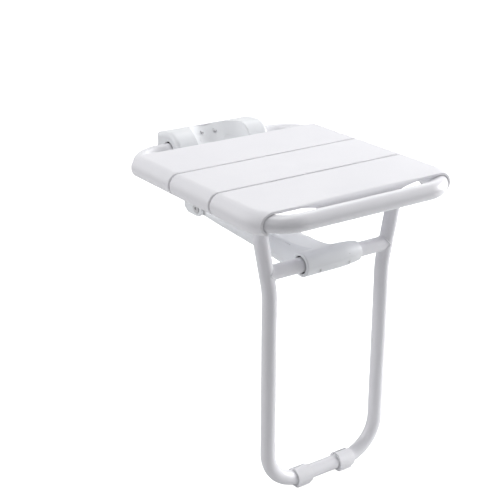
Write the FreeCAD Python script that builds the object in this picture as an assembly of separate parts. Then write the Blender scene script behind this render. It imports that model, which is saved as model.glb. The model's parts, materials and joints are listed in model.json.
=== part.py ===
import FreeCAD, Part
import math
import os

# Fold down wall seat with a swinging leg. Millimetres, +Z up, +Y towards the wall.
# The origin is the centre of the four wall fixings, on the wall face.

# seat and pivots
seat_height = 475.0
hinge_drop = 100.0
hinge_from_wall = 34.0
leg_forward = 6.0
leg_reach = 284.0

# seat frame tube
frame_od = 25.0
frame_wall = 1.5
frame_cc = 318.0
frame_depth = 370.0
front_bend = 50.0
rear_bend = 60.0

# slats
slat_wall = 4.0
slat_seat_gap = 0.2
slat_gap = 4.0
slat_rear_edge = 42.5
slat_middle_long = 102.5
slat_front_long = 104.5
slat_front_inset = 14.0
wrap_end_deg = -62.0
slat_edge_round = 1.2
lip_wall = 3.0
lip_drop = 6.0
lip_half = 74.0
rib_x = 62.0
front_lip_end = 120.0
front_lip_drop = 13.0
front_lip_sweep = 185.0
front_roll = 6.0
front_roll_half = 60.0
front_roll_end = 115.0
wrap_mouth = 1.1
wrap_mouth_deep = 1.6
slat_screw_r = 2.0
slat_screw_head_r = 3.6
slat_screw_head = 2.2
slat_screw_bite = 2.5

# leg frame
leg_od = 22.0
leg_wall = 1.5
leg_cc = 204.0
leg_bend = 58.0
knee_bend = 120.0
knee_drop = 29.0
top_rise = 5.6
top_drop = 20.0
top_taper = 26.0
top_thick = 12.0
top_wide = 26.0
top_corner = 8.4
top_cap = 1.4
top_plug = 9.0

# feet
foot_x = 40.0
foot_long = 27.0
foot_wide = 19.0
foot_wall = 3.2
foot_drop = 16.0
foot_gap = 0.1
foot_open_from = 50.0
foot_open_to = 84.0
pad_proud = 2.0
pad_recess = 1.0
pad_edge = 3.0

# leg pivots
pivot_bolt_r = 4.0
pivot_bush_wall = 1.0
pivot_run = 0.06
pivot_head_r = 7.0
pivot_head = 4.5
pivot_socket_r = 2.5
pivot_socket = 2.6
pivot_play = 0.4
pivot_spacer_r = 9.0
pivot_spacer_long = 22.0
pivot_insert_wall = 1.5
pivot_insert_long = 12.0

# wall plate
plate = 4.0
plate_half = 84.0
plate_edge = 0.5
strip_half = 22.0
plate_round = 4.0
fix_pitch_x = 56.0
fix_hole_r = 4.2
fix_head_r = 7.5
fix_cap_back = -20.0
fix_cap_gap = 0.05

# hinge housing
lug_end = 85.0
lug_inner = 48.0
lug_r = 28.0
lug_front = 29.0
lug_back_half = 23.5
lug_web = 2.0
lug_end_round = 7.0
recess_floor = 30.0
recess_tilt = 42.0
recess_r = 52.0
recess_fall = 3.0
hinge_bush_wall = 2.5
hinge_bush_inset = 5.0
hinge_run = 0.08
stub_run = 0.3
plug_flange = 2.0
plug_deep = 12.0
cap_screw_r = 1.9
cap_screw_z = 18.9
cap_screw_x = 22.0
cap_screw_edge = 7.5
cap_screw_reach = 8.0
base_screw_r = 2.0
base_screw_x = 12.0
base_screw_z = 14.0
base_screw_deep = 14.0
screw_head_r = 3.4
screw_head = 2.0

# arm bracket and pin
bracket_half = 40.0
bracket_base = 8.0
bracket_tall = 12.5
bracket_screw_z = 8.0
cheek = 4.4
cheek_r = 13.5
cheek_back_half = 7.0
cheek_slope = 10.0
cheek_edge = 1.2
pin_r = 5.0
pin_run = 0.06
pin_head_r = 7.5
pin_head = 2.0
pin_socket_r = 2.4
pin_clip = 1.6
washer = 1.6
washer_r = 11.0

# arm
arm_end_r = 12.5
arm_top_half = 16.5
arm_top = 6.5
arm_top_at_sleeve = 13.0
arm_wall = 3.0
arm_side = 7.0
arm_bulge = 2.5
arm_half_rear = 34.0
arm_half_mid = 38.0
arm_half_front = 46.0
arm_low_rear = 10.0
arm_low_mid = 14.0
arm_low_front = 18.0
arm_start = 8.0
arm_mid = 150.0
arm_flare = 225.0
arm_join = 14.0
arm_slot_from = 122.0
arm_slot_to = 178.0
arm_slot_half = 5.0
groove_from = 150.0
groove_to = 222.0
groove_x = 23.0
groove_down = 2.0
groove_half = 2.2
groove_deep = 1.2
arm_screw_r = 1.8
arm_screw_head_r = 3.2
arm_screw_head = 1.6
arm_screw_deep = 9.0
arm_screw_end = 36.0
arm_screw_pair = 106.0
arm_screw_pitch = 12.0
arm_screw_x = 22.0
arm_boss_r = 4.5
arm_bush_wall = 1.6
arm_bush_long = 14.0

# sleeve round the crossbar
sleeve_half = 49.5
sleeve_r = 18.0
sleeve_round = 2.0
sleeve_taper_from = 10.0
sleeve_taper_r = 15.0
sleeve_bush_wall = 2.0
sleeve_bush_half = 46.0
sleeve_run = 0.25
sleeve_screw_x = 26.0
sleeve_screw_off = 2.1
sleeve_screw_r = 1.3
sleeve_screw_head_r = 2.1
sleeve_screw_sink = 5.0
sleeve_screw_bite = 6.5

# derived places
frame_r = frame_od / 2
leg_r = leg_od / 2
side_x = frame_cc / 2
leg_x = leg_cc / 2
top_x = side_x - frame_r - pivot_spacer_long - pivot_play - top_thick / 2
wrap_r = frame_r + slat_seat_gap + slat_wall
hinge_z = hinge_drop / 2
arm_z = -hinge_drop / 2
hinge_y = -hinge_from_wall
arm_y = hinge_y - leg_forward
pivot_y = hinge_y - leg_reach
cross_y = pivot_y - leg_forward
floor_z = hinge_z + wrap_r - seat_height
bar_z = floor_z + foot_drop
front_y = hinge_y - frame_depth
stub_x = lug_inner + lug_web + stub_run + plug_flange
lug_axis_y = hinge_y - lug_front + lug_r
hinge_bore = frame_r + hinge_run + hinge_bush_wall
slat_front_edge = frame_depth - slat_front_inset
slat_front_joint = slat_front_edge - slat_front_long
slat_rear_joint = slat_front_joint - slat_middle_long
leg_top_in = top_x - top_thick / 2
leg_top_out = top_x + top_thick / 2
fix_x = fix_pitch_x / 2
bracket_in = bracket_half - cheek
arm_half_end = bracket_in - washer
sleeve_bore = leg_r + sleeve_run + sleeve_bush_wall
X_DIR = FreeCAD.Vector(1, 0, 0)
Y_DIR = FreeCAD.Vector(0, 1, 0)
Z_DIR = FreeCAD.Vector(0, 0, 1)


def vec(x, y, z):
    return FreeCAD.Vector(x, y, z)


def box(x0, x1, y0, y1, z0, z1):
    return Part.makeBox(x1 - x0, y1 - y0, z1 - z0, vec(x0, y0, z0))


def rod(start, direction, radius, length):
    return Part.makeCylinder(radius, length, start, direction)


def rod_x(x0, x1, y, z, radius):
    return rod(vec(x0, y, z), X_DIR, radius, x1 - x0)


def rod_y(x, y0, y1, z, radius):
    return rod(vec(x, y0, z), Y_DIR, radius, y1 - y0)


def rod_z(x, y, z0, z1, radius):
    return rod(vec(x, y, z0), Z_DIR, radius, z1 - z0)


def ring_x(x0, x1, y, z, outer, inner):
    return rod_x(x0, x1, y, z, outer).cut(rod_x(x0, x1, y, z, inner))


def fuse_all(shapes):
    return shapes[0].multiFuse(shapes[1:]).removeSplitter()


def cut_all(shape, tools):
    for tool in tools:
        shape = shape.cut(tool)
    return shape


def mirrored(shape):
    return shape.mirror(vec(0, 0, 0), X_DIR)


def both_sides(shape):
    return [shape, mirrored(shape)]


def rounded_box(x0, x1, y0, y1, z0, z1, radius):
    solid = box(x0, x1, y0, y1, z0, z1)
    upright = [e for e in solid.Edges if abs(e.tangentAt(e.FirstParameter).z) > 0.9]
    return solid.makeFillet(radius, upright)


def export(name, shape):
    solids = shape.Solids
    out = solids[0] if len(solids) == 1 else Part.makeCompound(solids)
    out.exportStep("parts/" + name + ".step")


# Bent tube: straight runs joined by tangent arcs, one radius for each inner point.
def bent_rod(points, bends, radius):
    pieces = []
    start = points[0]
    for i in range(1, len(points)):
        end = points[i]
        if i < len(points) - 1:
            before = (points[i] - points[i - 1]).normalize()
            after = (points[i + 1] - points[i]).normalize()
            turn = before.getAngle(after)
            back = bends[i - 1] * math.tan(turn / 2)
            end = points[i] - before * back
            normal = before.cross(after).normalize()
            centre = end + normal.cross(before) * bends[i - 1]
            disc = Part.Face(Part.Wire(Part.makeCircle(radius, end, before)))
            pieces.append(disc.revolve(centre, normal, math.degrees(turn)))
        pieces.append(rod(start, end - start, radius, (end - start).Length))
        if i < len(points) - 1:
            start = points[i] + after * back
    return fuse_all(pieces)


# Slat section in the XZ plane: flat across, with a wrap round each side tube.
def slat_outline(offset):
    radius = wrap_r - offset
    end = math.radians(wrap_end_deg)
    half = (math.pi / 2 + end) / 2
    tip = vec(side_x + radius * math.cos(end), 0, hinge_z + radius * math.sin(end))
    side = vec(side_x + radius * math.cos(half), 0, hinge_z + radius * math.sin(half))
    return [tip, side, vec(side_x, 0, hinge_z + radius)]


def flip(p):
    return vec(-p.x, p.y, p.z)


def slat_face(y):
    tip, side, top = slat_outline(0)
    tip_in, side_in, top_in = slat_outline(slat_wall)
    edges = [
        Part.Arc(flip(tip), flip(side), flip(top)).toShape(),
        Part.LineSegment(flip(top), top).toShape(),
        Part.Arc(top, side, tip).toShape(),
        Part.LineSegment(tip, tip_in).toShape(),
        Part.Arc(tip_in, side_in, top_in).toShape(),
        Part.LineSegment(top_in, flip(top_in)).toShape(),
        Part.Arc(flip(top_in), flip(side_in), flip(tip_in)).toShape(),
        Part.LineSegment(flip(tip_in), flip(tip)).toShape(),
    ]
    face = Part.Face(Part.Wire(edges))
    face.translate(vec(0, y, 0))
    return face


def slat_body(y_front, y_rear):
    return slat_face(y_front).extrude(vec(0, y_rear - y_front, 0))


def outer_edges(solid, y):
    found = []
    for edge in solid.Edges:
        box_of = edge.BoundBox
        flat = abs(box_of.YMin - y) < 0.01 and abs(box_of.YMax - y) < 0.01
        mid = edge.valueAt((edge.FirstParameter + edge.LastParameter) / 2)
        if abs(mid.x) > side_x:
            outside = math.hypot(abs(mid.x) - side_x, mid.z - hinge_z) > wrap_r - 0.1
        else:
            outside = mid.z > hinge_z + wrap_r - 0.1
        if flat and outside and edge.Length > slat_wall * 2:
            found.append(edge)
    return found


def rounded_slat(y_front, y_rear):
    solid = slat_body(y_front, y_rear)
    edges = outer_edges(solid, y_front) + outer_edges(solid, y_rear)
    return solid.makeFillet(slat_edge_round, edges)


def slat_ribs(y_front, y_rear):
    half = lip_half
    top = hinge_z + wrap_r - slat_wall / 2
    low = hinge_z + wrap_r - slat_wall - lip_drop
    edge = slat_edge_round
    ribs = [
        box(-half, half, y_front + edge, y_front + edge + lip_wall, low, top),
        box(-half, half, y_rear - edge - lip_wall, y_rear - edge, low, top),
    ]
    for x in (-rib_x, rib_x):
        ribs.append(box(x - lip_wall / 2, x + lip_wall / 2, y_front + edge, y_rear - edge, low, top))
    return ribs


def slat_span(index):
    gap = slat_gap / 2
    rear = [slat_rear_edge, slat_rear_joint + gap, slat_front_joint + gap][index]
    front = [slat_rear_joint - gap, slat_front_joint - gap, slat_front_edge][index]
    return hinge_y - front, hinge_y - rear


def slat_screw_y(index):
    y_front, y_rear = slat_span(index)
    return (y_front + y_rear) / 2


def slat_screw_tip():
    return hinge_z + frame_r + slat_seat_gap + slat_screw_bite


def slat_screw_holes(index):
    hole = rod_z(side_x, slat_screw_y(index), hinge_z, slat_screw_tip(), slat_screw_r)
    return both_sides(hole)


def plain_slat(index):
    y_front, y_rear = slat_span(index)
    solid = fuse_all([rounded_slat(y_front, y_rear)] + slat_ribs(y_front, y_rear))
    return cut_all(solid, slat_screw_holes(index))


# Lip under the front edge: deep in the middle, curving up into the slat at both ends.
def front_lip(y_front):
    top = hinge_z + wrap_r - slat_wall / 2
    under = top - slat_wall / 4
    turn = math.acos(1 - front_lip_drop / front_lip_sweep)
    inner = front_lip_end - front_lip_sweep * math.sin(turn)
    mid_x = front_lip_end - front_lip_sweep * math.sin(turn / 2)
    mid_z = under - front_lip_sweep * (1 - math.cos(turn / 2))
    a = vec(inner, y_front, under - front_lip_drop)
    m = vec(mid_x, y_front, mid_z)
    b = vec(front_lip_end, y_front, under)
    c = vec(front_lip_end, y_front, top)
    edges = [
        Part.LineSegment(flip(a), a).toShape(),
        Part.Arc(a, m, b).toShape(),
        Part.LineSegment(b, c).toShape(),
        Part.LineSegment(c, flip(c)).toShape(),
        Part.LineSegment(flip(c), flip(b)).toShape(),
        Part.Arc(flip(b), flip(m), flip(a)).toShape(),
    ]
    return Part.Face(Part.Wire(edges)).extrude(vec(0, lip_wall, 0))


def roll_wire(x, y_front, radius):
    top = hinge_z + wrap_r
    over = 1.0
    corner = radius * (1 - math.sqrt(0.5))
    a = vec(x, y_front, top - radius)
    b = vec(x, y_front + corner, top - corner)
    c = vec(x, y_front + radius, top)
    d = vec(x, y_front + radius, top + over)
    e = vec(x, y_front - over, top + over)
    f = vec(x, y_front - over, top - radius)
    lines = [Part.LineSegment(p, q).toShape() for p, q in ((c, d), (d, e), (e, f), (f, a))]
    return Part.Wire([Part.Arc(a, b, c).toShape()] + lines)


def front_roll_tools(y_front):
    full = roll_wire(front_roll_half, y_front, front_roll)
    small = roll_wire(front_roll_end, y_front, slat_edge_round)
    middle = Part.Face(full).extrude(vec(-2 * front_roll_half, 0, 0))
    return [middle] + both_sides(Part.makeLoft([full, small], True, True))


# The front slat follows the bends of the tube and is cut off straight behind the front bar.
def front_slat():
    y_front, y_rear = slat_span(2)
    start_y = front_y + front_bend
    inner = side_x - front_bend
    low = hinge_z - 2 * wrap_r
    high = hinge_z + 2 * wrap_r
    straight = slat_body(start_y, y_rear)
    straight = straight.makeFillet(slat_edge_round, outer_edges(straight, y_rear))
    outer = slat_face(start_y).common(box(inner, side_x + 2 * wrap_r, start_y - 1, start_y + 1, low, high))
    corner = outer.revolve(vec(inner, start_y, 0), Z_DIR, -90)
    turned = outer.copy()
    turned.rotate(vec(inner, start_y, 0), Z_DIR, -90)
    middle = turned.extrude(vec(-2 * inner, 0, 0))
    ahead = box(-2 * side_x, 2 * side_x, front_y - 2 * wrap_r, y_front, low, high)
    solid = fuse_all([straight, middle] + both_sides(corner)).cut(ahead)
    solid = fuse_all([solid, front_lip(y_front)] + slat_ribs(y_front, y_rear))
    solid = cut_all(solid, front_roll_tools(y_front) + slat_screw_holes(2))
    mouth = box(inner, side_x + 2 * wrap_r, y_front - 1, y_front + wrap_mouth_deep, low, high)
    return cut_all(solid, both_sides(frame_rod(frame_r + wrap_mouth).common(mouth)))


def slat_screws():
    screws = []
    bottom = hinge_z - frame_r
    for index in range(3):
        y = slat_screw_y(index)
        tube = rod_y(side_x, y - frame_r, y + frame_r, hinge_z, frame_r)
        shank = rod_z(side_x, y, bottom - slat_screw_head / 2, slat_screw_tip(), slat_screw_r)
        head = rod_z(side_x, y, bottom - slat_screw_head, bottom + slat_screw_head, slat_screw_head_r)
        rim = [e for e in head.Edges if e.BoundBox.ZMax < bottom - slat_screw_head + 0.01]
        head = head.makeFillet(slat_screw_head * 0.4, rim).cut(tube)
        screws += both_sides(head.fuse(shank).removeSplitter())
    return Part.makeCompound(screws)


def frame_points():
    return [
        vec(0, front_y, hinge_z),
        vec(side_x, front_y, hinge_z),
        vec(side_x, hinge_y, hinge_z),
        vec(stub_x, hinge_y, hinge_z),
    ]


def frame_rod(radius):
    return bent_rod(frame_points(), [front_bend, rear_bend], radius)


def seat_frame():
    half = frame_rod(frame_r).cut(frame_rod(frame_r - frame_wall))
    tube = fuse_all(both_sides(half))
    tools = []
    for index in range(3):
        y = slat_screw_y(index)
        tools += both_sides(rod_z(side_x, y, hinge_z - frame_od, hinge_z + frame_od, slat_screw_r))
    insert_r = pivot_bolt_r + pivot_insert_wall
    tools += both_sides(rod_x(side_x - frame_od, side_x, pivot_y, hinge_z, insert_r))
    return cut_all(tube, tools)


def frame_end_plug():
    inner = frame_r - frame_wall
    flange = rod_x(stub_x - plug_flange, stub_x, hinge_y, hinge_z, frame_r)
    plug = rod_x(stub_x, stub_x + plug_deep, hinge_y, hinge_z, inner)
    hollow = rod_x(stub_x, stub_x + plug_deep, hinge_y, hinge_z, inner - plug_flange)
    return flange.fuse(plug).cut(hollow)


# Pivot between the side tube and the flattened top of the leg.
def pivot_spacer():
    tube = rod_y(side_x, pivot_y - frame_od, pivot_y + frame_od, hinge_z, frame_r)
    body = rod_x(leg_top_out + pivot_play, side_x, pivot_y, hinge_z, pivot_spacer_r)
    return body.cut(tube).cut(rod_x(0, side_x, pivot_y, hinge_z, pivot_bolt_r))


def pivot_insert():
    outer = pivot_bolt_r + pivot_insert_wall
    start = side_x - math.sqrt(frame_r ** 2 - outer ** 2)
    return ring_x(start, start + pivot_insert_long, pivot_y, hinge_z, outer, pivot_bolt_r)


def pivot_bolt():
    under = leg_top_in - pivot_play
    end = side_x - frame_r + pivot_insert_long
    shank = rod_x(under, end, pivot_y, hinge_z, pivot_bolt_r)
    head = rod_x(under - pivot_head, under, pivot_y, hinge_z, pivot_head_r)
    rim = [e for e in head.Edges if e.BoundBox.XMax < under - pivot_head + 0.01]
    head = head.makeFillet(pivot_head * 0.4, rim)
    socket = rod_x(under - pivot_head, under - pivot_head + pivot_socket, pivot_y, hinge_z, pivot_socket_r)
    return head.fuse(shank).removeSplitter().cut(socket)


# Leg: one bent tube in one plane, with flattened tops. Its pivot hole lies behind its middle.
def leg_points():
    return [
        vec(0, cross_y, bar_z),
        vec(leg_x, cross_y, bar_z),
        vec(leg_x, cross_y, arm_z - knee_drop),
        vec(top_x, cross_y, hinge_z - top_drop - top_taper),
    ]


def stadium_wire(z, shrink):
    r = top_thick / 2 - shrink
    flat = (top_wide - top_thick) / 2
    a = vec(top_x + r, cross_y - flat, z)
    b = vec(top_x + r, cross_y + flat, z)
    c = vec(top_x - r, cross_y + flat, z)
    d = vec(top_x - r, cross_y - flat, z)
    edges = [
        Part.LineSegment(a, b).toShape(),
        Part.Arc(b, vec(top_x, cross_y + flat + r, z), c).toShape(),
        Part.LineSegment(c, d).toShape(),
        Part.Arc(d, vec(top_x, cross_y - flat - r, z), a).toShape(),
    ]
    return Part.Wire(edges)


def circle_wire(radius):
    points = leg_points()
    run = (points[-1] - points[-2]).normalize()
    side = Y_DIR.cross(run).normalize()

    def at(deg):
        a = math.radians(deg)
        return points[-1] + side * (radius * math.cos(a)) + Y_DIR * (radius * math.sin(a))

    return Part.Wire([Part.Arc(at(a), at(a + 45), at(a + 90)).toShape() for a in (-45, 45, 135, 225)])


def leg_solid(shrink):
    z = hinge_z - top_drop
    tube = bent_rod(leg_points(), [leg_bend, knee_bend], leg_r - shrink)
    taper = Part.makeLoft([circle_wire(leg_r - shrink), stadium_wire(z, shrink)], True, True)
    head = Part.Face(stadium_wire(z, shrink)).extrude(vec(0, 0, top_drop + top_rise))
    return fuse_all([tube, taper, head])


# The rear top corner stays inside a circle about the pivot, to pass under the slat.
def top_corner_tool():
    x0, x1 = leg_top_in - 1, leg_top_out + 1
    reach = top_wide
    corner = box(x0, x1, pivot_y, pivot_y + reach, hinge_z, hinge_z + reach)
    return corner.cut(rod_x(x0, x1, pivot_y, hinge_z, top_corner))


def leg_outer():
    half = leg_solid(0).cut(top_corner_tool())
    return fuse_all(both_sides(half))


def leg_frame():
    bush = rod_x(leg_top_in - 1, leg_top_out + 1, pivot_y, hinge_z, pivot_bolt_r + pivot_run + pivot_bush_wall)
    half = leg_solid(0).cut(leg_solid(leg_wall)).cut(top_corner_tool()).cut(bush)
    return fuse_all(both_sides(half))


def pivot_bush():
    inner = pivot_bolt_r + pivot_run
    return ring_x(leg_top_in, leg_top_out, pivot_y, hinge_z, inner + pivot_bush_wall, inner)


def leg_top_cap():
    z = hinge_z + top_rise
    lid = Part.Face(stadium_wire(z, 0)).extrude(vec(0, 0, top_cap))
    rim = [e for e in lid.Edges if e.BoundBox.ZMin > z + top_cap - 0.01]
    lid = lid.makeFillet(top_cap * 0.6, rim)
    plug = Part.Face(stadium_wire(z - top_plug, leg_wall)).extrude(vec(0, 0, top_plug))
    bush = rod_x(leg_top_in - 1, leg_top_out + 1, pivot_y, hinge_z, pivot_bolt_r + pivot_run + pivot_bush_wall)
    return lid.fuse(plug).removeSplitter().cut(top_corner_tool()).cut(bush)


def crossbar(outer):
    bar = ring_x(-top_x, top_x, cross_y, arm_z, leg_r, leg_r - leg_wall)
    coped = bar.cut(outer)
    return max(coped.Solids, key=lambda s: s.Volume)


# Foot: a clip round the bottom bar, open at the top behind the crown, with a rubber pad under it.
def foot_clip():
    x0 = foot_x - foot_long / 2
    x1 = foot_x + foot_long / 2
    ring = rod_x(x0, x1, cross_y, bar_z, leg_r + foot_gap + foot_wall)
    reach = 3 * leg_od
    corners = [vec(x0 - 1, cross_y, bar_z)]
    for deg in (foot_open_from, foot_open_to):
        tilt = math.radians(deg)
        corners.append(vec(x0 - 1, cross_y + reach * math.cos(tilt), bar_z + reach * math.sin(tilt)))
    corners.append(corners[0])
    mouth = Part.Face(Part.makePolygon(corners)).extrude(vec(foot_long + 2, 0, 0))
    half = foot_wide / 2
    block = rounded_box(x0, x1, cross_y - half, cross_y + half, floor_z + pad_proud, bar_z, pad_edge)
    bore = bent_rod(leg_points(), [leg_bend, knee_bend], leg_r + foot_gap)
    edge = pad_edge
    pocket = rounded_box(x0 + edge, x1 - edge, cross_y - half + edge, cross_y + half - edge,
                         floor_z, floor_z + pad_proud + pad_recess, edge / 2)
    return ring.cut(mouth).fuse(block).removeSplitter().cut(bore).cut(pocket)


def foot_pad():
    half = foot_wide / 2 - pad_edge
    x0 = foot_x - foot_long / 2 + pad_edge
    x1 = foot_x + foot_long / 2 - pad_edge
    top = floor_z + pad_proud + pad_recess
    return rounded_box(x0, x1, cross_y - half, cross_y + half, floor_z, top, pad_edge / 2)


# Wall bracket.
def wall_plate():
    half = lug_back_half - plate_edge
    low = bracket_tall
    upper = box(-plate_half, plate_half, -plate, 0, hinge_z - half, hinge_z + half)
    strip = box(-strip_half, strip_half, -plate, 0, arm_z - low, hinge_z)
    lower = box(-bracket_in, bracket_in, -plate, 0, arm_z - low, arm_z + low)
    solid = fuse_all([upper, strip, lower])
    corners = [e for e in solid.Edges if abs(e.tangentAt(e.FirstParameter).y) > 0.9]
    solid = solid.makeFillet(plate_round, corners)
    tools = []
    for z in (hinge_z, arm_z):
        tools += both_sides(rod_y(fix_x, -2 * plate, plate, z, fix_hole_r))
    for place, radius in screw_places():
        tools.append(rod_y(place.x, -2 * plate, plate, place.z, radius))
        tools.append(screw_cone(place, 0))
    return cut_all(solid, tools)


def screw_places():
    places = []
    for x in (-base_screw_x, base_screw_x):
        for z in (-base_screw_z, base_screw_z):
            places.append((vec(x, 0, hinge_z + z), base_screw_r))
        for z in (-bracket_screw_z, bracket_screw_z):
            places.append((vec(x, 0, arm_z + z), base_screw_r))
    for x, z in cap_screw_places():
        places.append((vec(x, 0, z), cap_screw_r))
    return places


def cap_screw_places():
    near = lug_inner + cap_screw_edge
    places = []
    for x in (near, near + cap_screw_x):
        for z in (-cap_screw_z, cap_screw_z):
            places += [(x, hinge_z + z), (-x, hinge_z + z)]
    return places


def screw_cone(place, depth):
    return Part.makeCone(base_screw_r, screw_head_r, screw_head, vec(place.x, -screw_head - depth, place.z), Y_DIR)


def back_screw(x, z, radius, deep):
    shank = rod_y(x, -plate - deep, -screw_head / 2, z, radius)
    head = Part.makeCone(base_screw_r, screw_head_r, screw_head, vec(x, -screw_head, z), Y_DIR)
    slot = box(x - screw_head_r * 0.6, x + screw_head_r * 0.6, -screw_head / 2, 0, z - 0.5, z + 0.5)
    return head.fuse(shank).removeSplitter().cut(slot)


# Housing section: a round nose, falling in a flat curve to the wall plate.
def lug_profile(x0, x1):
    back = -plate - lug_axis_y
    fall = lug_r - lug_back_half
    flat_r = (back ** 2 + fall ** 2) / (2 * fall)
    lean = math.asin(back / flat_r) / 2
    side = lug_axis_y + flat_r * math.sin(lean)
    rise = lug_r - flat_r * (1 - math.cos(lean))
    a = vec(x0, -plate, hinge_z - lug_back_half)
    b = vec(x0, -plate, hinge_z + lug_back_half)
    c = vec(x0, lug_axis_y, hinge_z + lug_r)
    d = vec(x0, lug_axis_y - lug_r, hinge_z)
    e = vec(x0, lug_axis_y, hinge_z - lug_r)
    edges = [
        Part.LineSegment(a, b).toShape(),
        Part.Arc(b, vec(x0, side, hinge_z + rise), c).toShape(),
        Part.Arc(c, d, e).toShape(),
        Part.Arc(e, vec(x0, side, hinge_z - rise), a).toShape(),
    ]
    return Part.Face(Part.Wire(edges)).extrude(vec(x1 - x0, 0, 0))


# Valley between the lugs, where the folded arm lies: upright below, falling back to the wall above.
def recess_tools():
    reach = 4 * lug_r
    axis_y = -recess_floor - recess_r
    upright = rod_z(0, axis_y, hinge_z - reach, hinge_z + reach, recess_r)
    tilt = math.radians(recess_tilt)
    along = vec(0, math.cos(tilt), math.sin(tilt))
    out = vec(0, -math.sin(tilt), math.cos(tilt))
    middle = vec(0, -recess_floor, hinge_z - recess_fall) + out * recess_r
    return [upright, rod(middle - along * reach, along, recess_r, 2 * reach)]


def housing_outer():
    body = lug_profile(-lug_end, lug_end)
    ends = [e for e in body.Edges if e.BoundBox.XLength < 0.01 and e.BoundBox.YMin < -plate - 1]
    return cut_all(body.makeFillet(lug_end_round, ends), recess_tools())


def housing_tools():
    tools = [rod_x(lug_inner + lug_web, lug_end + 1, hinge_y, hinge_z, hinge_bore)]
    tools.append(rod_y(fix_x, lug_axis_y - lug_r, -plate, hinge_z, fix_head_r))
    tools = [t for tool in tools for t in both_sides(tool)]
    for x in (-base_screw_x, base_screw_x):
        for z in (-base_screw_z, base_screw_z):
            tools.append(rod_y(x, -plate - base_screw_deep, 0, hinge_z + z, base_screw_r))
    for x, z in cap_screw_places():
        tools.append(rod_y(x, hinge_y - cap_screw_reach, 0, z, cap_screw_r))
    return tools


def hinge_parts():
    body = cut_all(housing_outer(), housing_tools())
    reach = 2 * lug_end
    front = box(lug_inner, reach, -reach, hinge_y, -reach, reach)
    return cut_all(body, both_sides(front)), body.common(front)


def hinge_bush():
    inner = frame_r + hinge_run
    x0 = lug_inner + lug_web
    return ring_x(x0, lug_end - hinge_bush_inset, hinge_y, hinge_z, hinge_bore, inner)


def fixing_caps():
    cap = rod_y(fix_x, lug_axis_y - lug_r, fix_cap_back, hinge_z, fix_head_r - fix_cap_gap)
    return Part.makeCompound(both_sides(cap.common(housing_outer())))


def base_screws():
    screws = []
    for x in (-base_screw_x, base_screw_x):
        for z in (-base_screw_z, base_screw_z):
            screws.append(back_screw(x, hinge_z + z, base_screw_r, base_screw_deep))
    return Part.makeCompound(screws)


def lug_cap_screws():
    deep = -hinge_y + cap_screw_reach - plate
    return Part.makeCompound([back_screw(x, z, cap_screw_r, deep) for x, z in cap_screw_places()])


def cheek_side():
    x0 = bracket_in
    back = -plate
    shoulder = back - cheek_slope
    points = [
        vec(x0, arm_y, arm_z + cheek_r),
        vec(x0, shoulder, arm_z + cheek_r),
        vec(x0, back, arm_z + cheek_back_half),
        vec(x0, back, arm_z - cheek_back_half),
        vec(x0, shoulder, arm_z - cheek_r),
        vec(x0, arm_y, arm_z - cheek_r),
    ]
    edges = [Part.LineSegment(a, b).toShape() for a, b in zip(points, points[1:])]
    edges.append(Part.Arc(points[-1], vec(x0, arm_y - cheek_r, arm_z), points[0]).toShape())
    side = Part.Face(Part.Wire(edges)).extrude(vec(cheek, 0, 0))
    rim = [e for e in side.Edges if e.BoundBox.XMin > bracket_half - 0.01 and e.BoundBox.YMin < back - 1]
    return side.makeFillet(cheek_edge, rim)


def arm_bracket():
    front = -plate - bracket_base
    base = box(-bracket_in, bracket_in, front, -plate, arm_z - bracket_tall, arm_z + bracket_tall)
    solid = fuse_all([base] + both_sides(cheek_side()))
    tools = [rod_x(-2 * bracket_half, 2 * bracket_half, arm_y, arm_z, pin_r)]
    tools += both_sides(rod_y(fix_x, 2 * front, -plate, arm_z, fix_head_r))
    for x in (-base_screw_x, base_screw_x):
        for z in (-bracket_screw_z, bracket_screw_z):
            tools.append(rod_y(x, -plate - bracket_base, 0, arm_z + z, base_screw_r))
    return cut_all(solid, tools)


def bracket_screws():
    screws = []
    for x in (-base_screw_x, base_screw_x):
        for z in (-bracket_screw_z, bracket_screw_z):
            screws.append(back_screw(x, arm_z + z, base_screw_r, bracket_base - 1))
    return Part.makeCompound(screws)


def arm_pin():
    shank = rod_x(-bracket_half, bracket_half + pin_head + pin_clip, arm_y, arm_z, pin_r)
    head = rod_x(-bracket_half - pin_head, -bracket_half, arm_y, arm_z, pin_head_r)
    rim = [e for e in head.Edges if e.BoundBox.XMax < -bracket_half - pin_head + 0.01]
    head = head.makeFillet(pin_head * 0.4, rim)
    socket = rod_x(-bracket_half - pin_head, -bracket_half, arm_y, arm_z, pin_socket_r)
    return head.fuse(shank).removeSplitter().cut(socket)


def arm_pin_clip():
    ring = ring_x(bracket_half, bracket_half + pin_clip, arm_y, arm_z, pin_head_r, pin_r)
    far = 2 * pin_head_r
    mouth = box(bracket_half - 1, bracket_half + 2 * pin_clip, arm_y - far, arm_y, arm_z - 1, arm_z + 1)
    return ring.cut(mouth)


def arm_washers():
    ring = ring_x(arm_half_end, arm_half_end + washer, arm_y, arm_z, washer_r, pin_r + pin_run)
    return Part.makeCompound(both_sides(ring))


# Arm: s runs from the wall pivot forwards along -Y.
def arm_stations():
    return [
        (arm_start, arm_half_rear - 1, arm_low_rear, arm_top),
        (arm_mid, arm_half_mid, arm_low_mid, arm_top),
        (arm_flare, (arm_half_mid + arm_half_front) / 2, (arm_low_mid + arm_low_front) / 2, arm_top),
        (leg_reach - arm_join, arm_half_front, arm_low_front, arm_top_at_sleeve),
    ]


def at_s(x, s, z):
    return vec(x, arm_y - s, arm_z + z)


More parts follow.
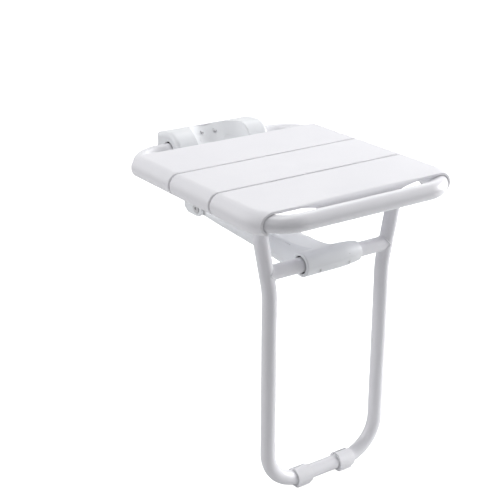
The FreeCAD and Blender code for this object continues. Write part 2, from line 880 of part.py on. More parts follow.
def arm_section(s, half, low, top, inset, floor_inset):
    half = half - inset
    top = top - inset
    base = -low + floor_inset
    side = -low + arm_side
    flat = arm_top_half - inset / 2
    mid_x = (half + flat) / 2
    mid_z = (side + top) / 2 + arm_bulge
    p = [at_s(half, s, base), at_s(half, s, side), at_s(mid_x, s, mid_z), at_s(flat, s, top)]
    edges = [
        Part.LineSegment(p[0], p[1]).toShape(),
        Part.Arc(p[1], p[2], p[3]).toShape(),
        Part.LineSegment(p[3], flip(p[3])).toShape(),
        Part.Arc(flip(p[3]), flip(p[2]), flip(p[1])).toShape(),
        Part.LineSegment(flip(p[1]), flip(p[0])).toShape(),
        Part.LineSegment(flip(p[0]), p[0]).toShape(),
    ]
    return Part.Wire(edges)


def arm_outer():
    return Part.makeLoft([arm_section(s, h, l, t, 0, 0) for s, h, l, t in arm_stations()], True, False)


def arm_cavity():
    stations = arm_stations()
    first, last = stations[0], stations[-1]
    stations[0] = (first[0] + arm_end_r, first[1], first[2], first[3])
    stations[-1] = (last[0] - sleeve_r * 0.6, last[1] - 2, last[2], last[3] - 2)
    wires = [arm_section(s, h, l, t, arm_wall, 0) for s, h, l, t in stations]
    return Part.makeLoft(wires, True, False)


def arm_floor():
    wires = []
    for s, half, low, top in arm_stations():
        a, b = at_s(half + 1, s, -low - 1), at_s(half + 1, s, -low + arm_wall)
        wires.append(Part.makePolygon([a, b, flip(b), flip(a), a]))
    return Part.makeLoft(wires, True, False)


def arm_slot(half, z0, z1):
    y0, y1 = arm_y - arm_slot_to, arm_y - arm_slot_from
    grow = half - arm_slot_half
    solid = box(-half, half, y0 - grow, y1 + grow, arm_z + z0, arm_z + z1)
    upright = [e for e in solid.Edges if abs(e.tangentAt(e.FirstParameter).z) > 0.9]
    return solid.makeFillet(half * 0.98, upright)


def arm_screw_places():
    return [(0, arm_screw_end), (0, arm_screw_pair), (0, arm_screw_pair + arm_screw_pitch),
            (arm_screw_x, arm_flare), (-arm_screw_x, arm_flare)]


def arm_low_at(s):
    stations = arm_stations()
    low = stations[0][2]
    for (s0, _, l0, _), (s1, _, l1, _) in zip(stations, stations[1:]):
        if s0 <= s <= s1:
            low = l0 + (l1 - l0) * (s - s0) / (s1 - s0)
    return low


# Groove along each flank, square to its upper half.
def arm_grooves():
    run = (arm_half_mid - arm_top_half) / 2
    fall = (arm_top + arm_low_mid - arm_side) / 2 - arm_bulge
    lean = math.atan2(fall, run)
    out = vec(math.sin(lean), 0, math.cos(lean))
    deep = out * groove_deep
    a = at_s(groove_x, groove_from, arm_top - groove_down) - deep
    b = at_s(groove_x, groove_to, arm_top - groove_down) - deep
    across = vec(math.cos(lean), 0, -math.sin(lean)) * groove_half
    tools = [rod(end, out, groove_half, 4 * arm_bulge) for end in (a, b)]
    strip = Part.Face(Part.makePolygon([a - across, b - across, b + across, a + across, a - across]))
    tools.append(strip.extrude(out * (4 * arm_bulge)))
    return both_sides(fuse_all(tools))


# The sleeve is straight to the left and draws in to the right.
def sleeve_blank():
    r, h, e = sleeve_r, sleeve_half, sleeve_round
    run = h - sleeve_taper_from
    fall = r - sleeve_taper_r
    sweep = (run ** 2 + fall ** 2) / (2 * fall)
    lean = math.asin(run / sweep) / 2
    low = arm_z
    corner = e * (1 - math.sqrt(0.5))
    end_r = sleeve_taper_r - e
    p = [
        vec(-h, cross_y, low),
        vec(-h, cross_y, low + r - e),
        vec(-h + corner, cross_y, low + r - corner),
        vec(-h + e, cross_y, low + r),
        vec(sleeve_taper_from, cross_y, low + r),
        vec(sleeve_taper_from + sweep * math.sin(lean), cross_y, low + r - sweep * (1 - math.cos(lean))),
        vec(h, cross_y, low + sleeve_taper_r),
        vec(h + e - corner, cross_y, low + end_r + e - corner),
        vec(h + e, cross_y, low + end_r),
        vec(h + e, cross_y, low),
    ]
    edges = [
        Part.LineSegment(p[0], p[1]).toShape(),
        Part.Arc(p[1], p[2], p[3]).toShape(),
        Part.LineSegment(p[3], p[4]).toShape(),
        Part.Arc(p[4], p[5], p[6]).toShape(),
        Part.Arc(p[6], p[7], p[8]).toShape(),
        Part.LineSegment(p[8], p[9]).toShape(),
        Part.LineSegment(p[9], p[0]).toShape(),
    ]
    return Part.Face(Part.Wire(edges)).revolve(vec(0, cross_y, low), X_DIR, 360)


def half_space(upper):
    reach = leg_reach
    z0, z1 = (arm_z, arm_z + reach) if upper else (arm_z - reach, arm_z)
    return box(-reach, reach, cross_y - reach, cross_y + reach, z0, z1)


def sleeve_screw_y():
    return cross_y - sleeve_bore - sleeve_screw_off


def arm_shells():
    outer = arm_outer()
    floor = arm_floor()
    sleeve = sleeve_blank()
    barrel = rod_x(-arm_half_end, arm_half_end, arm_y, arm_z, arm_end_r)
    cap = sleeve.common(half_space(False))
    rim = arm_slot(arm_slot_half + arm_wall * 0.8, -arm_low_mid, arm_top).common(outer)
    bosses = []
    for x, s in arm_screw_places():
        boss = rod_z(x, arm_y - s, arm_z - arm_low_at(s), arm_z + arm_top - 1, arm_boss_r)
        bosses.append(boss.common(outer))
    shell = fuse_all([outer.cut(arm_cavity()), rim] + bosses).cut(floor).cut(cap)
    upper = fuse_all([shell, barrel, sleeve.common(half_space(True))])
    cover = outer.common(floor).cut(barrel).cut(sleeve)
    return upper, cover, cap


def arm_parts():
    upper, cover, cap = arm_shells()
    slot = arm_slot(arm_slot_half, -2 * arm_low_front, 2 * arm_top)
    bush_r = pin_r + pin_run + arm_bush_wall
    bore = rod_x(-arm_half_end, arm_half_end, arm_y, arm_z, bush_r)
    far = sleeve_half + 2 * sleeve_round
    sleeve_hole = rod_x(-far, far, cross_y, arm_z, sleeve_bore)
    tools = [slot, bore, sleeve_hole] + arm_grooves()
    for x, s in arm_screw_places():
        low = arm_low_at(s)
        y = arm_y - s
        tools.append(rod_z(x, y, arm_z - 2 * low, arm_z - low + arm_screw_deep, arm_screw_r))
        tools.append(rod_z(x, y, arm_z - 2 * low, arm_z - low + arm_screw_head, arm_screw_head_r))
    for x in (-sleeve_screw_x, sleeve_screw_x):
        y = sleeve_screw_y()
        tools.append(rod_z(x, y, arm_z - sleeve_r, arm_z + sleeve_screw_bite, sleeve_screw_r))
        tools.append(rod_z(x, y, arm_z - sleeve_r, arm_z - sleeve_screw_sink, sleeve_screw_head_r))
    upper = cut_all(upper, tools)
    cover = cut_all(cover, tools)
    cap = cut_all(cap, tools)
    return [max(shape.Solids, key=lambda solid: solid.Volume) for shape in (upper, cover, cap)]


def arm_screws():
    screws = []
    for x, s in arm_screw_places():
        z = arm_z - arm_low_at(s)
        y = arm_y - s
        shank = rod_z(x, y, z + arm_screw_head / 2, z + arm_screw_deep, arm_screw_r)
        head = rod_z(x, y, z, z + arm_screw_head, arm_screw_head_r)
        slot = box(x - arm_screw_head_r * 0.7, x + arm_screw_head_r * 0.7, y - 0.4, y + 0.4,
                   z, z + arm_screw_head * 0.5)
        screws.append(head.fuse(shank).removeSplitter().cut(slot))
    return Part.makeCompound(screws)


def sleeve_screws():
    screws = []
    for x in (-sleeve_screw_x, sleeve_screw_x):
        y = sleeve_screw_y()
        under = arm_z - sleeve_screw_sink
        low = under - arm_screw_head
        shank = rod_z(x, y, under - arm_screw_head / 2, arm_z + sleeve_screw_bite, sleeve_screw_r)
        head = rod_z(x, y, low, under, sleeve_screw_head_r)
        slot = box(x - sleeve_screw_head_r * 0.7, x + sleeve_screw_head_r * 0.7, y - 0.3, y + 0.3,
                   low, low + arm_screw_head * 0.5)
        screws.append(head.fuse(shank).removeSplitter().cut(slot))
    return Part.makeCompound(screws)


def arm_end_bushes():
    inner = pin_r + pin_run
    ring = ring_x(arm_half_end - arm_bush_long, arm_half_end, arm_y, arm_z, inner + arm_bush_wall, inner)
    return Part.makeCompound(both_sides(ring))


def sleeve_bush():
    inner = leg_r + sleeve_run
    return ring_x(-sleeve_bush_half, sleeve_bush_half, cross_y, arm_z, inner + sleeve_bush_wall, inner)


def build():
    os.makedirs("parts", exist_ok=True)
    nodes = {}
    nodes["wall_plate"] = wall_plate()
    base, cap_right = hinge_parts()
    nodes["hinge_base"] = base
    nodes["lug_cap_right"] = cap_right
    nodes["lug_cap_left"] = mirrored(cap_right)
    nodes["fixing_caps"] = fixing_caps()
    nodes["base_screws"] = base_screws()
    nodes["lug_cap_screws"] = lug_cap_screws()
    nodes["arm_bracket"] = arm_bracket()
    nodes["arm_bracket_screws"] = bracket_screws()
    nodes["arm_pin"] = arm_pin()
    nodes["arm_pin_clip"] = arm_pin_clip()
    nodes["arm_washers"] = arm_washers()
    nodes["seat_frame"] = seat_frame()
    nodes["slat_rear"] = plain_slat(0)
    nodes["slat_middle"] = plain_slat(1)
    nodes["slat_front"] = front_slat()
    nodes["slat_screws"] = slat_screws()
    nodes["leg_frame"] = leg_frame()
    nodes["crossbar"] = crossbar(leg_outer())
    upper, cover, cap = arm_parts()
    nodes["arm_body"] = upper
    nodes["arm_cover"] = cover
    nodes["sleeve_cap"] = cap
    nodes["arm_screws"] = arm_screws()
    nodes["sleeve_screws"] = sleeve_screws()
    nodes["arm_end_bushes"] = arm_end_bushes()
    nodes["sleeve_bush"] = sleeve_bush()
    pairs = {
        "hinge_bush": hinge_bush(),
        "frame_end_plug": frame_end_plug(),
        "pivot_spacer": pivot_spacer(),
        "pivot_insert": pivot_insert(),
        "pivot_bolt": pivot_bolt(),
        "pivot_bush": pivot_bush(),
        "leg_top_cap": leg_top_cap(),
        "foot_clip": foot_clip(),
        "foot_pad": foot_pad(),
    }
    for name, shape in pairs.items():
        nodes[name + "_right"] = shape
        nodes[name + "_left"] = mirrored(shape)
    for name, shape in nodes.items():
        export(name, shape)
        print(name, len(shape.Solids), round(shape.Volume), shape.isValid())


build()
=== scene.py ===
import bpy
import bmesh
import json
import math
from mathutils import Matrix, Vector


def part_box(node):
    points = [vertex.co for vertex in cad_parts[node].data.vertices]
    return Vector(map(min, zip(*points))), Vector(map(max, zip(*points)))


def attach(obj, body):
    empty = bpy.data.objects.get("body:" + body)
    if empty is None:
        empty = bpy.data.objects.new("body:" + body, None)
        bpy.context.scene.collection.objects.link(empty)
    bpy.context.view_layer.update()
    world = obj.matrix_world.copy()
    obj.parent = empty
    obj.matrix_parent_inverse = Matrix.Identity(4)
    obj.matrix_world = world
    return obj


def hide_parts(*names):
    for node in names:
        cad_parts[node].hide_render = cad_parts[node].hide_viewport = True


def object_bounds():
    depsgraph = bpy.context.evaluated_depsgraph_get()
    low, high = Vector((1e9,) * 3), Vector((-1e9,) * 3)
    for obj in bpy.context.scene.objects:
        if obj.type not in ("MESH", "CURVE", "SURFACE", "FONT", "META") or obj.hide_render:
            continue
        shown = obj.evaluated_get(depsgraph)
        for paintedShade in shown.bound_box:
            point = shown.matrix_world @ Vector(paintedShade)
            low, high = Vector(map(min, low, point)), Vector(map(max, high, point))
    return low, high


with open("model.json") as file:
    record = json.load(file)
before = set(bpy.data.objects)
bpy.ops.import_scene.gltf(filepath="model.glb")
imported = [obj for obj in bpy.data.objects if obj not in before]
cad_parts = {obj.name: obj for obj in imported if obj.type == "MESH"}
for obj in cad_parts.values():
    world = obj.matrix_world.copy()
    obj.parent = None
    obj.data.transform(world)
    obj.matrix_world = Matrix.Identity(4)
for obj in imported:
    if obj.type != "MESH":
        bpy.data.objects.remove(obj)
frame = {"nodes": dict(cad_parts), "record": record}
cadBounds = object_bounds()
nodes = frame["nodes"]
print("frame loaded:", len(nodes), "nodes")

# Camera fitted to the outline of the seat
viewpoint = {
    "place": (-0.9717, -1.5158, 0.5596),
    "yaw": 0.612,
    "pitch": 0.372,
    "roll": -0.004,
    "focalShare": 2.3296,  # focal length as a share of the picture's width
    "sensor": 36.0,
    "farthest": 50.0,
}

# Sky and lamps, fitted to the photo's tones: strong from above and from the right
lighting = {
    "skyColour": (0.97, 0.975, 1.0, 1.0),
    "skyLevel": 0.25,
    "aim": (0.0, -0.2, -0.05),
}
# A lamp with a cone is a spot, the others are discs
lamps = {
    "topLamp": {"power": 18.0, "size": 1.3, "place": (0.0, -0.2, 2.2)},
    "rightLamp": {"power": 40.0, "size": 1.2, "place": (1.9, -0.6, 0.35)},
    "backLamp": {"power": 7.0, "size": 1.3, "place": (1.5, 0.9, 1.5)},
    "leftLamp": {"power": 17.0, "size": 1.4, "place": (-1.8, 0.9, 0.9)},
    "footLamp": {"power": 11.0, "size": 0.3, "place": (0.75, -0.95, -0.10),
                 "aim": (0.0, -0.32, -0.44), "cone": 0.56},
}

floorStyle = {
    "size": 14.0,
    "colour": (0.80, 0.80, 0.80, 1.0),
    "white": 1.0,  # glow that only the camera sees
    "segments": 64,
}


def addCamera(v):
    cam = bpy.data.cameras.new("camera")
    cam.sensor_width = v["sensor"]
    cam.lens = v["focalShare"] * v["sensor"]
    cam.clip_end = v["farthest"]
    rig = bpy.data.objects.new("camera", cam)
    bpy.context.collection.objects.link(rig)
    ahead = Vector((math.sin(v["yaw"]) * math.cos(v["pitch"]),
                    math.cos(v["yaw"]) * math.cos(v["pitch"]),
                    -math.sin(v["pitch"])))
    right = Vector((math.cos(v["yaw"]), -math.sin(v["yaw"]), 0))
    down = ahead.cross(right)
    sideways = right * math.cos(v["roll"]) + down * math.sin(v["roll"])
    up = -(down * math.cos(v["roll"]) - right * math.sin(v["roll"]))
    turn = Matrix((sideways, up, -ahead)).transposed().to_4x4()
    rig.matrix_world = Matrix.Translation(v["place"]) @ turn
    bpy.context.scene.camera = rig


def addLamp(name, v, aim):
    lamp = bpy.data.lights.new(name, "SPOT" if "cone" in v else "AREA")
    lamp.energy = v["power"]
    if "cone" in v:
        lamp.spot_size = v["cone"]
        lamp.spot_blend = 1.0
        lamp.shadow_soft_size = v["size"] / 2
    else:
        lamp.shape = "DISK"
        lamp.size = v["size"]
    rig = bpy.data.objects.new(name, lamp)
    bpy.context.collection.objects.link(rig)
    rig.location = v["place"]
    towards = Vector(v.get("aim", aim)) - Vector(v["place"])
    rig.rotation_euler = towards.to_track_quat("-Z", "Y").to_euler()


def addMath(tree, how, a, b=None, clamp=False):
    node = tree.nodes.new("ShaderNodeMath")
    node.operation = how
    node.use_clamp = clamp
    for slot, value in zip(node.inputs, (a, b)):
        if value is None:
            continue
        if isinstance(value, (int, float)):
            slot.default_value = value
        else:
            tree.links.new(value, slot)
    return node.outputs[0]


def setSky(v):
    world = bpy.data.worlds.new("sky")
    bpy.context.scene.world = world
    world.use_nodes = True
    tree = world.node_tree
    tree.nodes.clear()
    output = tree.nodes.new("ShaderNodeOutputWorld")
    path = tree.nodes.new("ShaderNodeLightPath")
    seen = addMath(tree, "ADD", path.outputs["Is Camera Ray"], path.outputs["Is Glossy Ray"])
    seen = addMath(tree, "ADD", seen, path.outputs["Is Transmission Ray"])
    soft = tree.nodes.new("ShaderNodeBackground")
    soft.inputs["Color"].default_value = v["skyColour"]
    soft.inputs["Strength"].default_value = v["skyLevel"]
    white = tree.nodes.new("ShaderNodeBackground")
    white.inputs["Color"].default_value = (1, 1, 1, 1)
    mix = tree.nodes.new("ShaderNodeMixShader")
    tree.links.new(seen, mix.inputs["Fac"])
    tree.links.new(soft.outputs[0], mix.inputs[1])
    tree.links.new(white.outputs[0], mix.inputs[2])
    tree.links.new(mix.outputs[0], output.inputs["Surface"])


def addFloor(v, height):
    bm = bmesh.new()
    bmesh.ops.create_circle(bm, cap_ends=True, segments=v["segments"], radius=v["size"] / 2)
    bmesh.ops.translate(bm, verts=bm.verts, vec=(0, 0, height))
    mesh = bpy.data.meshes.new("floor")
    bm.to_mesh(mesh)
    bm.free()
    floor = bpy.data.objects.new("floor", mesh)
    bpy.context.collection.objects.link(floor)
    mat = bpy.data.materials.new("floorPaint")
    mat.use_nodes = True
    tree = mat.node_tree
    tree.nodes.clear()
    output = tree.nodes.new("ShaderNodeOutputMaterial")
    matte = tree.nodes.new("ShaderNodeBsdfDiffuse")
    matte.inputs["Color"].default_value = v["colour"]
    glow = tree.nodes.new("ShaderNodeEmission")
    path = tree.nodes.new("ShaderNodeLightPath")
    seen = addMath(tree, "MULTIPLY", path.outputs["Is Camera Ray"], v["white"])
    tree.links.new(seen, glow.inputs["Strength"])
    both = tree.nodes.new("ShaderNodeAddShader")
    tree.links.new(matte.outputs[0], both.inputs[0])
    tree.links.new(glow.outputs[0], both.inputs[1])
    tree.links.new(both.outputs[0], output.inputs["Surface"])
    mesh.materials.append(mat)


addCamera(viewpoint)
for lampName, lampValues in lamps.items():
    addLamp(lampName, lampValues, lighting["aim"])
setSky(lighting)
addFloor(floorStyle, cadBounds[0][2])
bpy.context.scene.view_settings.view_transform = "Standard"
print("camera, lamps and floor ready")


def newGroup(name, inputs, outputs):
    tree = bpy.data.node_groups.new(name, "ShaderNodeTree")
    for label, value in inputs.items():
        kind = "NodeSocketVector" if value is None else "NodeSocketFloat"
        socket = tree.interface.new_socket(label, in_out="INPUT", socket_type=kind)
        if value is not None:
            socket.default_value = value
    for label, kind in outputs.items():
        tree.interface.new_socket(label, in_out="OUTPUT", socket_type=kind)
    return tree, tree.nodes.new("NodeGroupInput"), tree.nodes.new("NodeGroupOutput")


def addNoise(tree, where, scale, detail, roughness):
    noise = tree.nodes.new("ShaderNodeTexNoise")
    tree.links.new(where, noise.inputs["Vector"])
    for label, value in (("Scale", scale), ("Detail", detail), ("Roughness", roughness)):
        if isinstance(value, (int, float)):
            noise.inputs[label].default_value = value
        else:
            tree.links.new(value, noise.inputs[label])
    return noise.outputs["Fac"]


def stretch(tree, value, low, high, least=0.0, most=1.0):
    node = tree.nodes.new("ShaderNodeMapRange")
    node.clamp = True
    tree.links.new(value, node.inputs["Value"])
    for label, number in (("From Min", low), ("From Max", high), ("To Min", least), ("To Max", most)):
        if isinstance(number, (int, float)):
            node.inputs[label].default_value = number
        else:
            tree.links.new(number, node.inputs[label])
    return node.outputs["Result"]


# Fine skin of a surface: small grain for the bump, broad patches for colour and gloss
skinStyle = {
    "inputs": {"Vector": None, "Grain Scale": 900.0, "Patch Scale": 14.0},
    "grain": {"detail": 2.0, "roughness": 0.5},
    "patch": {"detail": 4.0, "roughness": 0.6},
    "fleck": {"detail": 3.0, "roughness": 0.7},
    "fleckShare": 0.35,  # scale of the flecks as a share of the grain's
    "patchRange": (0.34, 0.66),
    "fleckRange": (0.66, 0.74),
}


def buildSkin(v):
    outputs = {"Height": "NodeSocketFloat", "Patch": "NodeSocketFloat", "Fleck": "NodeSocketFloat"}
    tree, start, end = newGroup("skin", v["inputs"], outputs)
    where = start.outputs["Vector"]
    grain = addNoise(tree, where, start.outputs["Grain Scale"], **v["grain"])
    patch = addNoise(tree, where, start.outputs["Patch Scale"], **v["patch"])
    fleckScale = addMath(tree, "MULTIPLY", start.outputs["Grain Scale"], v["fleckShare"])
    fleck = addNoise(tree, where, fleckScale, **v["fleck"])
    tree.links.new(grain, end.inputs["Height"])
    tree.links.new(stretch(tree, patch, *v["patchRange"]), end.inputs["Patch"])
    tree.links.new(stretch(tree, fleck, *v["fleckRange"]), end.inputs["Fleck"])
    return tree


# Wear and painted shade: worn edges, painted shade that darkens corners and gaps, and a normal with
# softened edges
wearAndShadeStyle = {
    "inputs": {"Vector": None, "Edge Width": 0.0006, "Corner Reach": 0.006, "Breakup Scale": 260.0},
    "breakup": {"detail": 4.0, "roughness": 0.65},
    "samples": 6,
    "edgeRange": (0.985, 0.90),
    "breakupRange": (0.40, 0.62),
    "paintedShadeRange": (0.75, 0.15),
}


def buildWearAndShade(v):
    outputs = {"Edge": "NodeSocketFloat", "Painted Shade": "NodeSocketFloat", "Soft Normal": "NodeSocketVector"}
    tree, start, end = newGroup("wearAndShade", v["inputs"], outputs)
    bevel = tree.nodes.new("ShaderNodeBevel")
    bevel.samples = v["samples"]
    tree.links.new(start.outputs["Edge Width"], bevel.inputs["Radius"])
    sharp = tree.nodes.new("ShaderNodeNewGeometry")
    dot = tree.nodes.new("ShaderNodeVectorMath")
    dot.operation = "DOT_PRODUCT"
    tree.links.new(bevel.outputs["Normal"], dot.inputs[0])
    tree.links.new(sharp.outputs["Normal"], dot.inputs[1])
    edge = stretch(tree, dot.outputs["Value"], *v["edgeRange"])
    breakup = addNoise(tree, start.outputs["Vector"], start.outputs["Breakup Scale"], **v["breakup"])
    edge = addMath(tree, "MULTIPLY", edge, stretch(tree, breakup, *v["breakupRange"]))
    # Painted shade: ambient occlusion darkens the corners and the gaps between parts
    near = tree.nodes.new("ShaderNodeAmbientOcclusion")
    near.samples = v["samples"]
    tree.links.new(start.outputs["Corner Reach"], near.inputs["Distance"])
    paintedShade = stretch(tree, near.outputs["AO"], *v["paintedShadeRange"])
    tree.links.new(edge, end.inputs["Edge"])
    tree.links.new(paintedShade, end.inputs["Painted Shade"])
    tree.links.new(bevel.outputs["Normal"], end.inputs["Soft Normal"])
    return tree


# Rub marks: short fine lines from use, along one direction
rubStyle = {
    "inputs": {"Vector": None, "Across": 700.0, "Along": 18.0, "Turn": 0.35},
    "lines": {"detail": 2.0, "roughness": 0.5},
    "lineRange": (0.68, 0.76),
}


def buildRubs(v):
    tree, start, end = newGroup("rubs", v["inputs"], {"Lines": "NodeSocketFloat"})
    turned = tree.nodes.new("ShaderNodeVectorRotate")
    turned.rotation_type = "Z_AXIS"
    tree.links.new(start.outputs["Vector"], turned.inputs["Vector"])
    tree.links.new(start.outputs["Turn"], turned.inputs["Angle"])
    sizes = tree.nodes.new("ShaderNodeCombineXYZ")
    tree.links.new(start.outputs["Along"], sizes.inputs["X"])
    tree.links.new(start.outputs["Across"], sizes.inputs["Y"])
    tree.links.new(start.outputs["Across"], sizes.inputs["Z"])
    scaled = tree.nodes.new("ShaderNodeVectorMath")
    scaled.operation = "MULTIPLY"
    tree.links.new(turned.outputs["Vector"], scaled.inputs[0])
    tree.links.new(sizes.outputs["Vector"], scaled.inputs[1])
    lines = addNoise(tree, scaled.outputs["Vector"], 1.0, **v["lines"])
    tree.links.new(stretch(tree, lines, *v["lineRange"]), end.inputs["Lines"])
    return tree


skinGroup = buildSkin(skinStyle)
wearAndShadeGroup = buildWearAndShade(wearAndShadeStyle)
rubsGroup = buildRubs(rubStyle)


def placeGroup(tree, group, where, values):
    node = tree.nodes.new("ShaderNodeGroup")
    node.node_tree = group
    tree.links.new(where, node.inputs["Vector"])
    for label, value in values.items():
        node.inputs[label].default_value = value
    return node.outputs


def mixColour(tree, share, a, b):
    node = tree.nodes.new("ShaderNodeMix")
    node.data_type = "RGBA"
    tree.links.new(share, node.inputs[0])
    for slot, value in ((node.inputs[6], a), (node.inputs[7], b)):
        if isinstance(value, tuple):
            slot.default_value = value
        else:
            tree.links.new(value, slot)
    return node.outputs[2]


# Every finish here: skin, wear, painted corner shade and rubs laid over one colour
def makeFinish(name, v):
    mat = bpy.data.materials.new(name)
    mat.use_nodes = True
    tree = mat.node_tree
    shader = tree.nodes["Principled BSDF"]
    where = tree.nodes.new("ShaderNodeTexCoord").outputs["Object"]
    skin = placeGroup(tree, skinGroup, where, {"Grain Scale": v["grain"], "Patch Scale": v["patch"]})
    wearAndShade = placeGroup(tree, wearAndShadeGroup, where,
                      {"Edge Width": v["edgeWidth"], "Corner Reach": v["cornerReach"]})
    rubs = placeGroup(tree, rubsGroup, where, {"Along": v["rubAlong"], "Across": v["rubAcross"]})
    colour = v["colour"]
    # The dirt colour goes on as real dirt flecks and as painted shade in the corners
    for mask, share, over in ((skin["Patch"], "patchShare", "shade"), (skin["Fleck"], "fleckShare", "dirtAndShade"),
                              (wearAndShade["Painted Shade"], "paintedShadeShare", "dirtAndShade"), (wearAndShade["Edge"], "edgeShare", "worn")):
        colour = mixColour(tree, addMath(tree, "MULTIPLY", mask, v[share]), colour, v[over])
    tree.links.new(colour, shader.inputs["Base Color"])
    least, most = v["roughness"] - v["spread"], v["roughness"] + v["spread"]
    gloss = stretch(tree, skin["Patch"], 0.0, 1.0, least, most)
    gloss = addMath(tree, "SUBTRACT", gloss, addMath(tree, "MULTIPLY", rubs["Lines"], v["rubShare"]), True)
    tree.links.new(gloss, shader.inputs["Roughness"])
    sunk = addMath(tree, "MULTIPLY", rubs["Lines"], v["rubDepth"])
    height = addMath(tree, "SUBTRACT", skin["Height"], sunk)
    bump = tree.nodes.new("ShaderNodeBump")
    bump.inputs["Strength"].default_value = v["bump"]
    bump.inputs["Distance"].default_value = v["bumpDepth"]
    tree.links.new(height, bump.inputs["Height"])
    tree.links.new(wearAndShade["Soft Normal"], bump.inputs["Normal"])
    tree.links.new(bump.outputs["Normal"], shader.inputs["Normal"])
    shader.inputs["Metallic"].default_value = v.get("metal", 0.0)
    shader.inputs["Coat Weight"].default_value = v.get("coat", 0.0)
    shader.inputs["Coat Roughness"].default_value = v.get("coatRoughness", 0.1)
    return mat


# In each finish, the dirt colour serves both the dirt flecks and the painted shade in corners; the corner
# share sets how strong that painted shade is
# Powder coat on the tubes and the plate: glossy, with a fine orange peel
whitePaint = {
    "colour": (0.860, 0.858, 0.890, 1), "shade": (0.825, 0.825, 0.860, 1),
    "dirtAndShade": (0.55, 0.54, 0.53, 1), "worn": (0.93, 0.93, 0.94, 1),
    "grain": 620.0, "patch": 16.0, "patchShare": 0.7, "fleckShare": 0.05,
    "edgeWidth": 0.0005, "edgeShare": 0.5, "cornerReach": 0.006, "paintedShadeShare": 0.30,
    "rubAlong": 40.0, "rubAcross": 1500.0, "rubShare": 0.06, "rubDepth": 0.15,
    "roughness": 0.36, "spread": 0.05, "bump": 0.22, "bumpDepth": 0.0003,
    "coat": 0.25, "coatRoughness": 0.22,
}

# Slats: satin plastic with a fine pebbled grain
slatPlastic = {
    "colour": (0.872, 0.868, 0.900, 1), "shade": (0.842, 0.840, 0.874, 1),
    "dirtAndShade": (0.60, 0.58, 0.55, 1), "worn": (0.94, 0.94, 0.95, 1),
    "grain": 1500.0, "patch": 9.0, "patchShare": 0.7, "fleckShare": 0.06,
    "edgeWidth": 0.0008, "edgeShare": 0.4, "cornerReach": 0.007, "paintedShadeShare": 0.35,
    "rubAlong": 14.0, "rubAcross": 900.0, "rubShare": 0.12, "rubDepth": 0.3,
    "roughness": 0.50, "spread": 0.06, "bump": 0.30, "bumpDepth": 0.00022,
}

# Housing and arm: smoother moulded plastic, a little cooler
housingPlastic = {
    "colour": (0.848, 0.862, 0.885, 1), "shade": (0.815, 0.832, 0.858, 1),
    "dirtAndShade": (0.58, 0.57, 0.55, 1), "worn": (0.93, 0.94, 0.95, 1),
    "grain": 1100.0, "patch": 12.0, "patchShare": 0.7, "fleckShare": 0.04,
    "edgeWidth": 0.0008, "edgeShare": 0.45, "cornerReach": 0.007, "paintedShadeShare": 0.35,
    "rubAlong": 20.0, "rubAcross": 1000.0, "rubShare": 0.10, "rubDepth": 0.25,
    "roughness": 0.40, "spread": 0.06, "bump": 0.20, "bumpDepth": 0.00020,
    "coat": 0.10, "coatRoughness": 0.25,
}

# Clips, plugs and caps: tougher plastic with a plain matt skin
trimPlastic = {
    "colour": (0.870, 0.868, 0.895, 1), "shade": (0.84, 0.838, 0.866, 1),
    "dirtAndShade": (0.56, 0.55, 0.53, 1), "worn": (0.93, 0.93, 0.94, 1),
    "grain": 1300.0, "patch": 40.0, "patchShare": 0.7, "fleckShare": 0.08,
    "edgeWidth": 0.0006, "edgeShare": 0.5, "cornerReach": 0.004, "paintedShadeShare": 0.4,
    "rubAlong": 60.0, "rubAcross": 1400.0, "rubShare": 0.12, "rubDepth": 0.3,
    "roughness": 0.46, "spread": 0.07, "bump": 0.25, "bumpDepth": 0.00020,
}

# Bearings: dark nylon
bushPlastic = {
    "colour": (0.045, 0.046, 0.050, 1), "shade": (0.030, 0.031, 0.034, 1),
    "dirtAndShade": (0.16, 0.15, 0.14, 1), "worn": (0.12, 0.12, 0.125, 1),
    "grain": 1600.0, "patch": 60.0, "patchShare": 0.8, "fleckShare": 0.15,
    "edgeWidth": 0.0004, "edgeShare": 0.7, "cornerReach": 0.003, "paintedShadeShare": 0.3,
    "rubAlong": 80.0, "rubAcross": 2200.0, "rubShare": 0.15, "rubDepth": 0.4,
    "roughness": 0.52, "spread": 0.08, "bump": 0.25, "bumpDepth": 0.00015,
}

# Pins and screws: turned stainless steel
turnedSteel = {
    "colour": (0.66, 0.66, 0.67, 1), "shade": (0.54, 0.54, 0.56, 1),
    "dirtAndShade": (0.20, 0.18, 0.16, 1), "worn": (0.82, 0.82, 0.83, 1),
    "grain": 2400.0, "patch": 150.0, "patchShare": 0.8, "fleckShare": 0.2,
    "edgeWidth": 0.0003, "edgeShare": 0.8, "cornerReach": 0.002, "paintedShadeShare": 0.5,
    "rubAlong": 60.0, "rubAcross": 5200.0, "rubShare": 0.18, "rubDepth": 0.6,
    "roughness": 0.34, "spread": 0.08, "bump": 0.35, "bumpDepth": 0.00008, "metal": 1.0,
}

# Pads under the feet: matt grey rubber
padRubber = {
    "colour": (0.52, 0.52, 0.53, 1), "shade": (0.44, 0.44, 0.45, 1),
    "dirtAndShade": (0.28, 0.26, 0.24, 1), "worn": (0.62, 0.62, 0.62, 1),
    "grain": 1900.0, "patch": 70.0, "patchShare": 0.8, "fleckShare": 0.3,
    "edgeWidth": 0.0005, "edgeShare": 0.6, "cornerReach": 0.003, "paintedShadeShare": 0.5,
    "rubAlong": 120.0, "rubAcross": 900.0, "rubShare": 0.05, "rubDepth": 0.4,
    "roughness": 0.82, "spread": 0.08, "bump": 0.5, "bumpDepth": 0.0003,
}

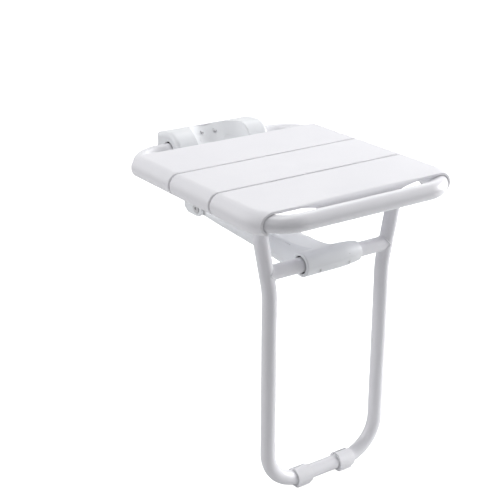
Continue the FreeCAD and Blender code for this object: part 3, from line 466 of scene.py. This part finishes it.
finishes = {
    "white_paint": makeFinish("whitePaint", whitePaint),
    "slat_plastic": makeFinish("slatPlastic", slatPlastic),
    "housing_plastic": makeFinish("housingPlastic", housingPlastic),
    "trim_plastic": makeFinish("trimPlastic", trimPlastic),
    "bush_plastic": makeFinish("bushPlastic", bushPlastic),
    "steel": makeFinish("turnedSteel", turnedSteel),
    "pad_rubber": makeFinish("padRubber", padRubber),
}

for row in frame["record"]["subparts"]:
    data = nodes[row["node"]].data
    data.materials.clear()
    data.materials.append(finishes[row["material_slot"]])
print("finishes assigned:", len(finishes))


def finishPiece(bm, name, body, slotName, smooth=True):
    bmesh.ops.recalc_face_normals(bm, faces=bm.faces)
    mesh = bpy.data.meshes.new(name)
    bm.to_mesh(mesh)
    bm.free()
    for face in mesh.polygons:
        face.use_smooth = smooth
    mesh.materials.append(finishes[slotName])
    piece = bpy.data.objects.new(name, mesh)
    bpy.context.collection.objects.link(piece)
    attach(piece, body)
    return piece


# Weld beads where the crossbar meets the uprights
weldBead = {
    "legCentre": 0.1076,  # X of the upright's centre at the crossbar's height
    "legLean": 0.194,  # change of X for each metre of height
    "radius": 0.0014,
    "sink": 0.0003,  # depth of the bead's centre below the tube's face
    "ripples": 46,
    "rippleDepth": 0.10,
    "segments": 12,
    "steps": 184,
}


def addWeldBead(v, side, name):
    low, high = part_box("crossbar")
    tubeRadius = (high.z - low.z) / 2
    centre = (low + high) / 2
    bm = bmesh.new()
    ring = bmesh.ops.create_circle(bm, segments=v["segments"], radius=v["radius"])
    bmesh.ops.rotate(bm, verts=ring["verts"], matrix=Matrix.Rotation(math.pi / 2, 3, "X"))
    bmesh.ops.translate(bm, verts=bm.verts, vec=(0, 0, tubeRadius - v["sink"]))
    bmesh.ops.spin(bm, geom=bm.verts[:] + bm.edges[:], axis=(1, 0, 0), cent=(0, 0, 0),
                   angle=2 * math.pi, steps=v["steps"], use_merge=True)
    slope = math.sqrt(1 + v["legLean"] ** 2)
    for vert in bm.verts:
        turn = math.atan2(vert.co.y, vert.co.z)
        swell = 1 + v["rippleDepth"] * math.sin(v["ripples"] * turn)
        y = tubeRadius * math.sin(turn)
        z = tubeRadius * math.cos(turn)
        core = Vector((0, y, z)) * (1 - v["sink"] / tubeRadius)
        vert.co = core + (vert.co - core) * swell
        reach = math.sqrt(max(tubeRadius ** 2 - y ** 2, 0)) * slope
        vert.co.x += v["legCentre"] + v["legLean"] * z - reach
    bmesh.ops.scale(bm, verts=bm.verts, vec=(side, 1, 1))
    bmesh.ops.translate(bm, verts=bm.verts, vec=(0, centre.y, centre.z))
    return finishPiece(bm, name, "leg", "white_paint")


for side, sideName in ((-1, "left"), (1, "right")):
    addWeldBead(weldBead, side, "weld_bead_" + sideName)
print("weld beads made")


# Foot pads with tread bars under them
padTread = {
    "deep": 0.0007,
    "bars": 6,
    "gapShare": 0.35,
    "edge": 0.0004,
    "cornerEdge": 0.0012,
}


def addBox(bm, low, high, edge):
    made = bmesh.ops.create_cube(bm, size=1.0)
    size = Vector(high) - Vector(low)
    bmesh.ops.scale(bm, verts=made["verts"], vec=size)
    bmesh.ops.translate(bm, verts=made["verts"], vec=(Vector(high) + Vector(low)) / 2)
    edges = list({e for vert in made["verts"] for e in vert.link_edges})
    bmesh.ops.bevel(bm, geom=edges, offset=edge, segments=2, profile=0.5, affect="EDGES", material=-1)


def addFootPad(v, sideName):
    low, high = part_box("foot_pad_" + sideName)
    bm = bmesh.new()
    addBox(bm, (low.x, low.y, low.z + v["deep"]), high, v["cornerEdge"])
    pitch = (high.x - low.x) / v["bars"]
    for i in range(v["bars"]):
        x = low.x + pitch * (i + v["gapShare"] / 2)
        top = low.z + 2 * v["deep"]
        addBox(bm, (x, low.y + v["cornerEdge"], low.z),
               (x + pitch * (1 - v["gapShare"]), high.y - v["cornerEdge"], top), v["edge"])
    pad = finishPiece(bm, "foot_pad_tread_" + sideName, "leg", "pad_rubber", False)
    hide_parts("foot_pad_" + sideName)


for sideName in ("left", "right"):
    addFootPad(padTread, sideName)
print("foot pads made")
